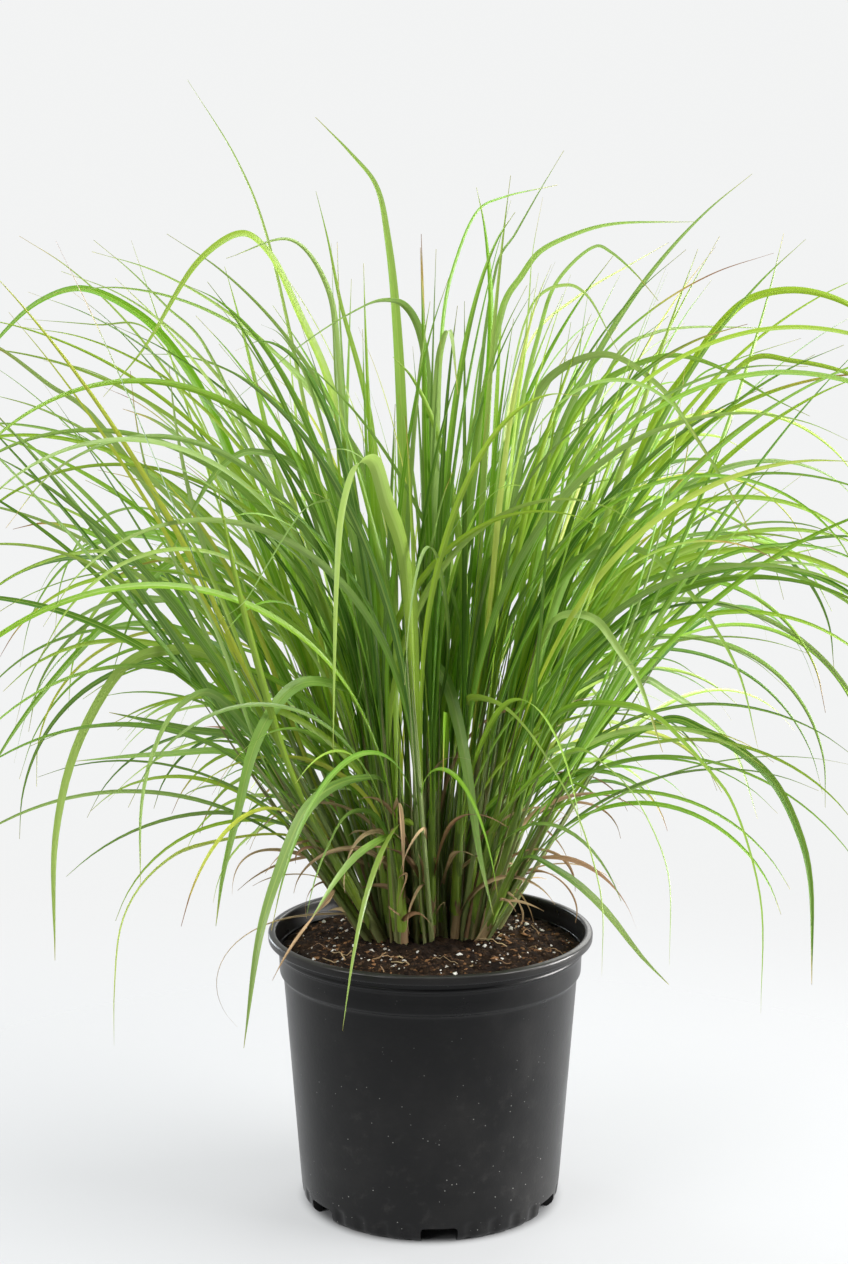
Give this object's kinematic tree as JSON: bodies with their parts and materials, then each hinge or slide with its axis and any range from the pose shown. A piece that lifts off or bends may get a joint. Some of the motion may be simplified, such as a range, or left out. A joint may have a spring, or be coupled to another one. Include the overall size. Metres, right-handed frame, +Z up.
{
  "type": "potted ornamental grass clump",
  "caption": "Arching clump of broad-bladed ornamental grass in a round black nursery pot filled with soil.",
  "frame": {"origin": "on the ground under the middle of the pot, which is also the middle of the clump's spread", "axes": "+Z up out of the pot; the front seen in the picture faces -Y, and +X is to its right"},
  "size_m": [0.8713, 0.6977, 0.9592],
  "materials": {
    "pot_plastic": "satin black moulded plastic with dust",
    "potting_soil": "damp peat and bark with perlite",
    "grass": "satin green blades with a pale midrib"
  },
  "bodies": {
    "root": {"pot": "pot_plastic", "soil": "potting_soil", "shoot_back_1": "grass", "shoot_back_10": "grass", "shoot_back_11": "grass", "shoot_back_12": "grass", "shoot_back_13": "grass", "shoot_back_2": "grass", "shoot_back_3": "grass", "shoot_back_4": "grass", "shoot_back_5": "grass", "shoot_back_6": "grass", "shoot_back_7": "grass", "shoot_back_8": "grass", "shoot_back_9": "grass", "shoot_crossing_arch": "grass", "shoot_front_broad_drop": "grass", "shoot_front_inner_drop": "grass", "shoot_front_left_curl": "grass", "shoot_front_left_fall": "grass", "shoot_front_left_low_fall": "grass", "shoot_front_left_whip": "grass", "shoot_front_middle_fall": "grass", "shoot_front_right_fall": "grass", "shoot_left_crest": "grass", "shoot_left_falls": "grass", "shoot_left_high_arch": "grass", "shoot_left_hook": "grass", "shoot_left_level": "grass", "shoot_left_low_fall": "grass", "shoot_left_outer_fall": "grass", "shoot_left_reach": "grass", "shoot_left_spire": "grass", "shoot_middle_hook": "grass", "shoot_middle_left_spire": "grass", "shoot_middle_spire": "grass", "shoot_right_crest": "grass", "shoot_right_high_arch": "grass", "shoot_right_high_rods": "grass", "shoot_right_inner_fall": "grass", "shoot_right_level": "grass", "shoot_right_long_arch": "grass", "shoot_right_low_crest": "grass", "shoot_right_low_falls": "grass", "shoot_right_middle_fall": "grass", "shoot_right_needles": "grass", "shoot_right_outer_fall": "grass", "shoot_right_rim_rod": "grass", "shoot_right_rod": "grass", "shoot_right_spire": "grass", "shoot_right_thin_spires": "grass", "shoot_rim_fall": "grass", "shoot_rim_short_fall": "grass"}
  },
  "joints": []
}
